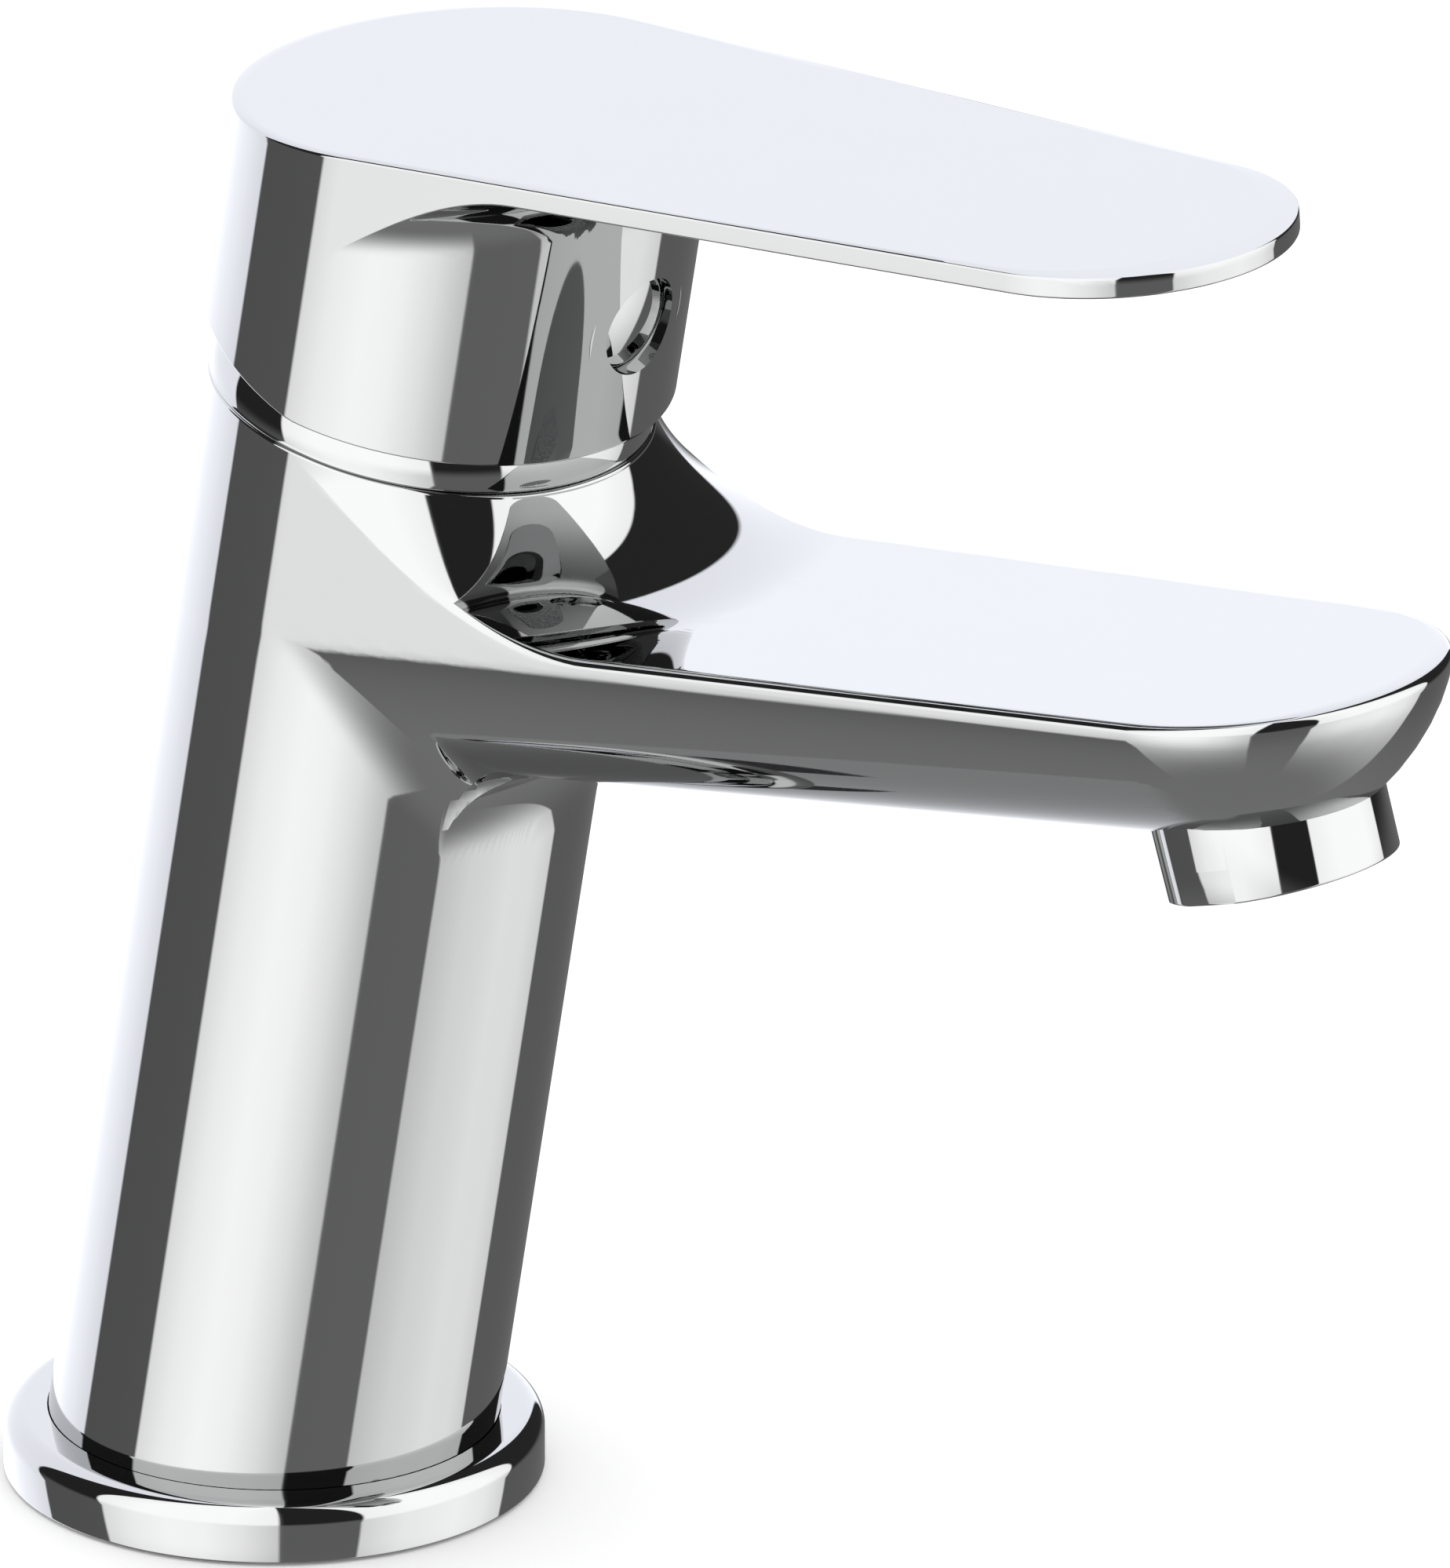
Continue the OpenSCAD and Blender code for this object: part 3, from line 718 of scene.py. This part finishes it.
def on_stem(x, y, h):
    """Points at height h on the stem's own line, which leans further forward from its pivot."""
    line = np.array([math.sin(STEM_LEAN), 0, math.cos(STEM_LEAN)])
    square = np.array([math.cos(STEM_LEAN), 0, -math.sin(STEM_LEAN)])
    x, y, h = np.broadcast_arrays(x, y, h)
    start = from_axis(0.0, 0.0, PIVOT)
    return start + x[..., None] * square + y[..., None] * SIDE + h[..., None] * line


def stem_post(plan, low, high=None):
    """A post on the stem's line with the given plan. With no top it ends inside the lever's plate."""
    x, y = np.array(plan, float).T
    foot = on_stem(x, y, low)
    if high is None:
        short = -lever.above(foot) - LEVER_THICK / 2
        high = low + short / math.cos(STEM_LEAN + LEVER_RISE)
    head = on_stem(x, y, high)
    return grid_mesh("tool", [head, foot], head.mean(0), foot.mean(0))


def handle_skin():
    """The lever's plate and skirt, hollow below."""
    x, y = lever.columns(66, 64, 72)
    theta, top, side, under = handle_lines(x, y)
    rows = [r for part in (top, side, under) for r in np.swapaxes(part, 0, 1)]
    in_x = SKIRT_IN_R * np.cos(theta)
    foot_t = SKIRT_FOOT - np.minimum(in_x, 0) * math.tan(SKIRT_CUT)
    drop = LEVER_THICK / math.cos(lever.tilt)
    ceiling = lever.plane_t(in_x) - drop
    rows += rings(theta, [
        (SKIRT_IN_R + 0.25, foot_t), (SKIRT_IN_R, foot_t + 0.25), (SKIRT_IN_R, ceiling),
    ])
    pole = from_axis(0.0, 0.0, LEVER_LEVEL)
    end = from_axis(0.0, 0.0, LEVER_LEVEL - drop)
    return grid_mesh("lever_handle", rows, pole, end)


def make_handle():
    obj = handle_skin()
    turn = np.arange(48) * 2 * math.pi / 48
    circle = BOSS_R * np.stack([np.cos(turn), np.sin(turn)], -1)
    join_meshes(obj, stem_post(circle, BOSS_FOOT), "UNION")
    join_meshes(obj, rod(PLUG_R + 2, 0, SKIRT_R - 1, facing_forward(PLUG_T)), "UNION")
    half = STEM_W / 2
    square = [(-half, -half), (half, -half), (half, half), (-half, half)]
    join_meshes(obj, stem_post(square, BOSS_FOOT - 10, 32), "DIFFERENCE")
    steps = [
        (0, 0), (SCREW_R, 0), (SCREW_R, PLUG_FLOOR), (PLUG_R, PLUG_FLOOR), (PLUG_R, 40), (0, 40),
    ]
    join_meshes(obj, turned("tool", steps, facing_forward(PLUG_T)), "DIFFERENCE")
    return smooth(obj, handle_field)


# ---------------------------------------------------------------- turned chrome pieces

def make_collar():
    """The domed cover ring that sits on the body's rim."""
    spigot_r, edge = 18.9, 0.3
    last = math.degrees(math.asin(COLLAR_HIGH / COLLAR_DOME_R))
    profile = [(COLLAR_BORE_R, -1), (spigot_r, -1), (spigot_r, 0)]
    profile += arc((BODY_R - edge, edge), edge, -90, 0, 5)
    profile += arc((BODY_R - COLLAR_DOME_R, 0), COLLAR_DOME_R, 2, last, 28)
    profile += [(COLLAR_BORE_R, COLLAR_HIGH)]
    return smooth(turned("cover_collar", profile, leaning(RIM + 0.05)))


def make_base_ring():
    """The loose ring that the body stands in, hollowed to take the leaning body and the gasket."""
    groove_in, groove_out, groove_top, edge = 19.4, 25.6, 1.82, 0.2
    profile = [
        (RING_BORE_R, RING_FOOT), (groove_in, RING_FOOT), (groove_in, groove_top),
        (groove_out, groove_top), (groove_out, RING_FOOT),
    ]
    profile += arc((RING_R - edge, RING_FOOT + edge), edge, -90, 0, 4)
    profile += arc((RING_R - RING_SHOULDER, RING_TOP - RING_SHOULDER), RING_SHOULDER, 0, 90, 14)
    profile += [(RING_BORE_R, RING_TOP)]
    obj = turned("base_trim_ring", profile, upright(0))
    join_meshes(obj, leaning_bar(BODY_R + 0.1, FOOT_Z, 60), "DIFFERENCE")
    return smooth(obj)


def flat_cutter(side):
    """A block outside one spanner flat of the aerator's ring."""
    out = side * np.array([FLAT_OUT, FLAT_OUT, AERATOR_R + 1, AERATOR_R + 1]) * MM
    along = np.array([-FLAT_HALF, FLAT_HALF, FLAT_HALF, -FLAT_HALF]) * MM
    low = [at_outlet(-1) @ Vector((a, b, 0)) for a, b in zip(along, out)]
    high = [at_outlet(FLAT_HIGH) @ Vector((a, b, 0)) for a, b in zip(along, out)]
    faces = [(3, 2, 1, 0), (4, 5, 6, 7)]
    for i in range(4):
        k = (i + 1) % 4
        faces.append((i, k, 4 + k, 4 + i))
    if side < 0:
        faces = [f[::-1] for f in faces]
    return new_object("tool", np.array([list(v) for v in low + high]) / MM, faces)


def make_aerator_ring():
    """The aerator's chromed ring, with a spanner flat on each side of its lower edge."""
    foot, head = 0.25, 0.2
    profile = arc((AERATOR_R - foot, foot), foot, -90, 0, 5)
    profile += arc((AERATOR_R - head, AERATOR_HIGH - head), head, 0, 90, 4)
    profile += [
        (AERATOR_BORE_R, AERATOR_HIGH), (AERATOR_BORE_R, 1.2), (AERATOR_LIP_R, 1.2),
        (AERATOR_LIP_R, foot), (AERATOR_LIP_R + foot, 0),
    ]
    obj = turned("aerator_ring", profile, at_outlet())
    for side in (-1, 1):
        join_meshes(obj, flat_cutter(side), "DIFFERENCE")
    return smooth(obj)


def make_plug():
    """The round plug in the skirt: a low dome with a stub that pushes into the screw's hole."""
    r, edge, swell, thick = PLUG_R - 0.05, 0.2, 0.5, 0.8
    dome = (r * r + swell * swell) / (2 * swell)
    last = math.degrees(math.asin((r - edge) / dome))
    profile = [(0, -2.5), (2.2, -2.5), (2.4, -2.3), (2.4, 0), (r, 0)]
    profile += arc((r - edge, thick - edge), edge, 0, 70, 4)
    profile += arc((0, thick + swell - dome), dome, 90 - last, 90, 16)
    place = facing_forward(PLUG_T) @ Matrix.Translation((0, 0, PLUG_FLOOR * MM))
    return smooth(turned("index_button", profile, place))


# ---------------------------------------------------------------- materials

def noise(tree, scale, detail):
    where = tree.nodes.new("ShaderNodeTexCoord")
    node = tree.nodes.new("ShaderNodeTexNoise")
    node.inputs["Scale"].default_value = scale
    node.inputs["Detail"].default_value = detail
    tree.links.new(where.outputs["Object"], node.inputs["Vector"])
    return node


def material(name, colour, metallic, rough, grain, rough_var, colour_var, bump, **sockets):
    """A procedural finish: grain is the pattern's size in metres, bump its height in metres."""
    mat = bpy.data.materials.new(name)
    mat.use_nodes = True
    nodes, links = mat.node_tree.nodes, mat.node_tree.links
    shader = nodes["Principled BSDF"]
    shader.inputs["Metallic"].default_value = metallic
    for key, value in sockets.items():
        shader.inputs[key.replace("_", " ")].default_value = value
    coarse = noise(mat.node_tree, 1 / grain, 3)
    fine = noise(mat.node_tree, 6 / grain, 2)
    tint = nodes.new("ShaderNodeMix")
    tint.data_type = "RGBA"
    tint.inputs[6].default_value = [c * (1 - colour_var) for c in colour] + [1]
    tint.inputs[7].default_value = list(colour) + [1]
    links.new(coarse.outputs["Fac"], tint.inputs[0])
    links.new(tint.outputs[2], shader.inputs["Base Color"])
    span = nodes.new("ShaderNodeMapRange")
    span.inputs["From Min"].default_value = 0.3
    span.inputs["From Max"].default_value = 0.7
    span.inputs["To Min"].default_value = rough
    span.inputs["To Max"].default_value = rough + rough_var
    links.new(fine.outputs["Fac"], span.inputs["Value"])
    links.new(span.outputs["Result"], shader.inputs["Roughness"])
    relief = nodes.new("ShaderNodeBump")
    relief.inputs["Strength"].default_value = 1
    relief.inputs["Distance"].default_value = bump
    links.new(fine.outputs["Fac"], relief.inputs["Height"])
    links.new(relief.outputs["Normal"], shader.inputs["Normal"])
    return mat


def wear(obj, mat):
    obj.data.materials.clear()
    obj.data.materials.append(mat)


# ---------------------------------------------------------------- light

def math_node(tree, kind, a, b=None):
    node = tree.nodes.new("ShaderNodeMath")
    node.operation = kind
    for socket, value in zip(node.inputs, (a, b)):
        if isinstance(value, (int, float)):
            socket.default_value = value
        elif value is not None:
            tree.links.new(value, socket)
    return node.outputs[0]


def smooth_step(tree, value, start, end):
    """0 at start and 1 at end, easing between them."""
    node = tree.nodes.new("ShaderNodeMapRange")
    node.interpolation_type = "SMOOTHSTEP"
    node.inputs["From Min"].default_value = start
    node.inputs["From Max"].default_value = end
    tree.links.new(value, node.inputs["Value"])
    return node.outputs["Result"]


def blend_colours(tree, share, one, two):
    node = tree.nodes.new("ShaderNodeMix")
    node.data_type = "RGBA"
    tree.links.new(share, node.inputs[0])
    for socket, value in ((node.inputs[6], one), (node.inputs[7], two)):
        if isinstance(value, tuple):
            socket.default_value = value
        else:
            tree.links.new(value, socket)
    return node.outputs[2]


def walls(tree, heading, stops):
    """Grey by compass heading in degrees. The pale side behind the object is faintly blue."""
    node = tree.nodes.new("ShaderNodeValToRGB")
    tree.links.new(heading, node.inputs["Fac"])
    ramp_stops = node.color_ramp.elements
    ramp_stops.remove(ramp_stops[0])
    for i, (degrees, grey) in enumerate(stops):
        spot = (degrees + 180) / 360
        stop = ramp_stops[0] if i == 0 else ramp_stops.new(spot)
        stop.position = spot
        cool = grey > 0.2 and (degrees > HIGH_END or degrees < FLAGS[0])
        tint = (0.98, 1.0, 1.06) if cool else (1.0, 1.0, 0.995)
        stop.color = [grey * c for c in tint] + [1]
    return node.outputs["Color"]


def flag(start, end, before, inside, after):
    """Stops for one dark flag: the wall's grey before it, its grey at each end, the wall after."""
    return [
        (start - FLAG_BLUR, before), (start + FLAG_BLUR, inside[0]),
        (end - FLAG_BLUR, inside[1]), (end + FLAG_BLUR, after),
    ]


def studio_colour(tree, direction):
    """Pale walls with three upright dark flags, over a grey floor."""
    split = tree.nodes.new("ShaderNodeSeparateXYZ")
    tree.links.new(direction, split.inputs[0])
    turn = math_node(tree, "ARCTAN2", split.outputs["Y"], split.outputs["X"])
    heading = math_node(tree, "ADD", math_node(tree, "DIVIDE", turn, 2 * math.pi), 0.5)
    low = walls(tree, heading, [
        (-180, 0.74), (-170, 0.68),
        *flag(FLAGS[0], FLAGS[1], 0.67, (0.070, 0.078), 0.69),
        (-116, 0.82), (-98, 0.90), (-82, 0.88), (-66, 0.76),
        *flag(FLAGS[2], FLAGS[3], 0.56, (0.097, 0.098), 0.62),
        (5, 0.79), (32, 0.86), (50, 0.78),
        *flag(FLAGS[4], FLAGS[5], 0.62, (0.085, 0.075), 0.84),
        (150, 0.80), (180, 0.74),
    ])
    high = walls(tree, heading, [
        (-180, 0.72),
        *flag(FLAGS[0], FLAGS[1], 0.72, (0.014, 0.014), 0.86),
        (-110, 0.95), (-70, 0.95),
        *flag(FLAGS[2], FLAGS[3], 0.86, (0.014, 0.014), 0.86),
        (10, 0.95), (45, 0.95),
        *flag(FLAGS[4], HIGH_END, 0.84, (0.016, 0.016), 0.72),
        (180, 0.72),
    ])
    lift = split.outputs["Z"]
    room = blend_colours(tree, smooth_step(tree, lift, -0.28, -0.06), low, high)
    grey = (FLOOR_GREY, FLOOR_GREY, FLOOR_GREY, 1)
    return blend_colours(tree, smooth_step(tree, lift, -0.45, -0.95), room, grey)


def world_light():
    """White paper for the eye and for matt surfaces, and the studio for mirror reflections."""
    world = bpy.data.worlds.new("studio")
    bpy.context.scene.world = world
    world.use_nodes = True
    tree = world.node_tree
    tree.nodes.clear()
    place = tree.nodes.new("ShaderNodeTexCoord")
    room = studio_colour(tree, place.outputs["Generated"])
    paths = tree.nodes.new("ShaderNodeLightPath")
    paper = tree.nodes.new("ShaderNodeBackground")
    paper.inputs["Color"].default_value = (1, 1, 1, 1)
    paper.inputs["Strength"].default_value = PAPER
    studio = tree.nodes.new("ShaderNodeBackground")
    tree.links.new(room, studio.inputs["Color"])
    studio.inputs["Strength"].default_value = 1 / CHROME_GREY
    seen = tree.nodes.new("ShaderNodeMixShader")
    tree.links.new(paths.outputs["Is Glossy Ray"], seen.inputs[0])
    tree.links.new(paper.outputs[0], seen.inputs[1])
    tree.links.new(studio.outputs[0], seen.inputs[2])
    out = tree.nodes.new("ShaderNodeOutputWorld")
    tree.links.new(seen.outputs[0], out.inputs["Surface"])


def floor():
    """The basin's deck: a wide pale plane that the chrome doesn't mirror."""
    half = FLOOR_HALF
    corners = [(-half, -half, DECK), (half, -half, DECK), (half, half, DECK), (-half, half, DECK)]
    obj = new_object("floor", corners, [(0, 1, 2, 3)])
    wear(obj, material("floor_paint", (0.93, 0.93, 0.93), 0, 0.8, 0.05, 0.05, 0.01, 1e-5))
    obj.visible_glossy = False


def camera():
    """A long lens from beside the spout, turned towards its tip and looking down."""
    turn, lift = math.radians(VIEW_TURN), math.radians(VIEW_LIFT)
    level_part = math.cos(lift)
    back = Vector((math.sin(turn) * level_part, -math.cos(turn) * level_part, math.sin(lift)))
    right = Vector((math.cos(turn), math.sin(turn), 0))
    up = back.cross(right)
    middle = right * VIEW_RIGHT + up * VIEW_UP + back * VIEW_DEPTH
    data = bpy.data.cameras.new("camera")
    data.lens = 1600
    data.sensor_width = 36
    far = VIEW_TALL * data.lens / data.sensor_width
    data.clip_start, data.clip_end = 0.1, 60
    cam = bpy.data.objects.new("camera", data)
    bpy.context.scene.collection.objects.link(cam)
    cam.rotation_mode = "QUATERNION"
    cam.location = (middle + back * far) * MM
    cam.rotation_quaternion = Matrix((right, up, back)).transposed().to_quaternion()
    bpy.context.scene.camera = cam


# ---------------------------------------------------------------- build

CHROME_COLOUR = (CHROME_GREY, CHROME_GREY * 1.005, CHROME_GREY * 1.01)
CHROME = material("chrome", CHROME_COLOUR, 1, 0.02, 0.01, 0.012, 0.01, 2e-8)
BRASS = material("brass", (0.76, 0.58, 0.28), 1, 0.22, 0.003, 0.10, 0.06, 2e-6)
STEEL = material("steel", (0.62, 0.62, 0.60), 1, 0.28, 0.002, 0.12, 0.05, 2e-6)
DARK_STEEL = material("dark_steel", (0.12, 0.12, 0.13), 1, 0.35, 0.002, 0.12, 0.10, 2e-6)
WHITE_PLASTIC = material("white_plastic", (0.85, 0.85, 0.82), 0, 0.38, 0.004, 0.10, 0.03, 4e-6)
GREY_PLASTIC = material("grey_plastic", (0.45, 0.46, 0.48), 0, 0.40, 0.004, 0.10, 0.05, 4e-6)
BLUE_PLASTIC = material("blue_plastic", (0.12, 0.30, 0.55), 0, 0.40, 0.004, 0.10, 0.06, 4e-6)
CERAMIC = material("ceramic", (0.90, 0.88, 0.82), 0, 0.18, 0.003, 0.08, 0.02, 1e-6)
RUBBER = material("rubber", (0.040, 0.040, 0.045), 0, 0.62, 0.002, 0.15, 0.20, 8e-6)

FINISHES = {
    "chrome": CHROME,
    "brass": BRASS,
    "steel": STEEL,
    "dark_steel": DARK_STEEL,
    "white_plastic": WHITE_PLASTIC,
    "grey_plastic": GREY_PLASTIC,
    "blue_plastic": BLUE_PLASTIC,
    "ceramic": CERAMIC,
    "rubber": RUBBER,
}

for part in frame["record"]["subparts"]:
    wear(frame["nodes"][part["node"]], FINISHES[part["material_slot"]])

CHROME_PIECES = [
    (make_body, "faucet_body", "root"),
    (make_base_ring, "base_ring", "root"),
    (make_collar, "collar", "root"),
    (make_aerator_ring, "aerator_housing", "root"),
    (make_handle, "handle", "lever"),
    (make_plug, "index_plug", "lever"),
]
for make, node, carrier in CHROME_PIECES:
    piece = make()
    wear(piece, CHROME)
    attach(piece, carrier)
    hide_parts(node)

world_light()
floor()
camera()
bpy.context.scene.view_settings.view_transform = "Standard"
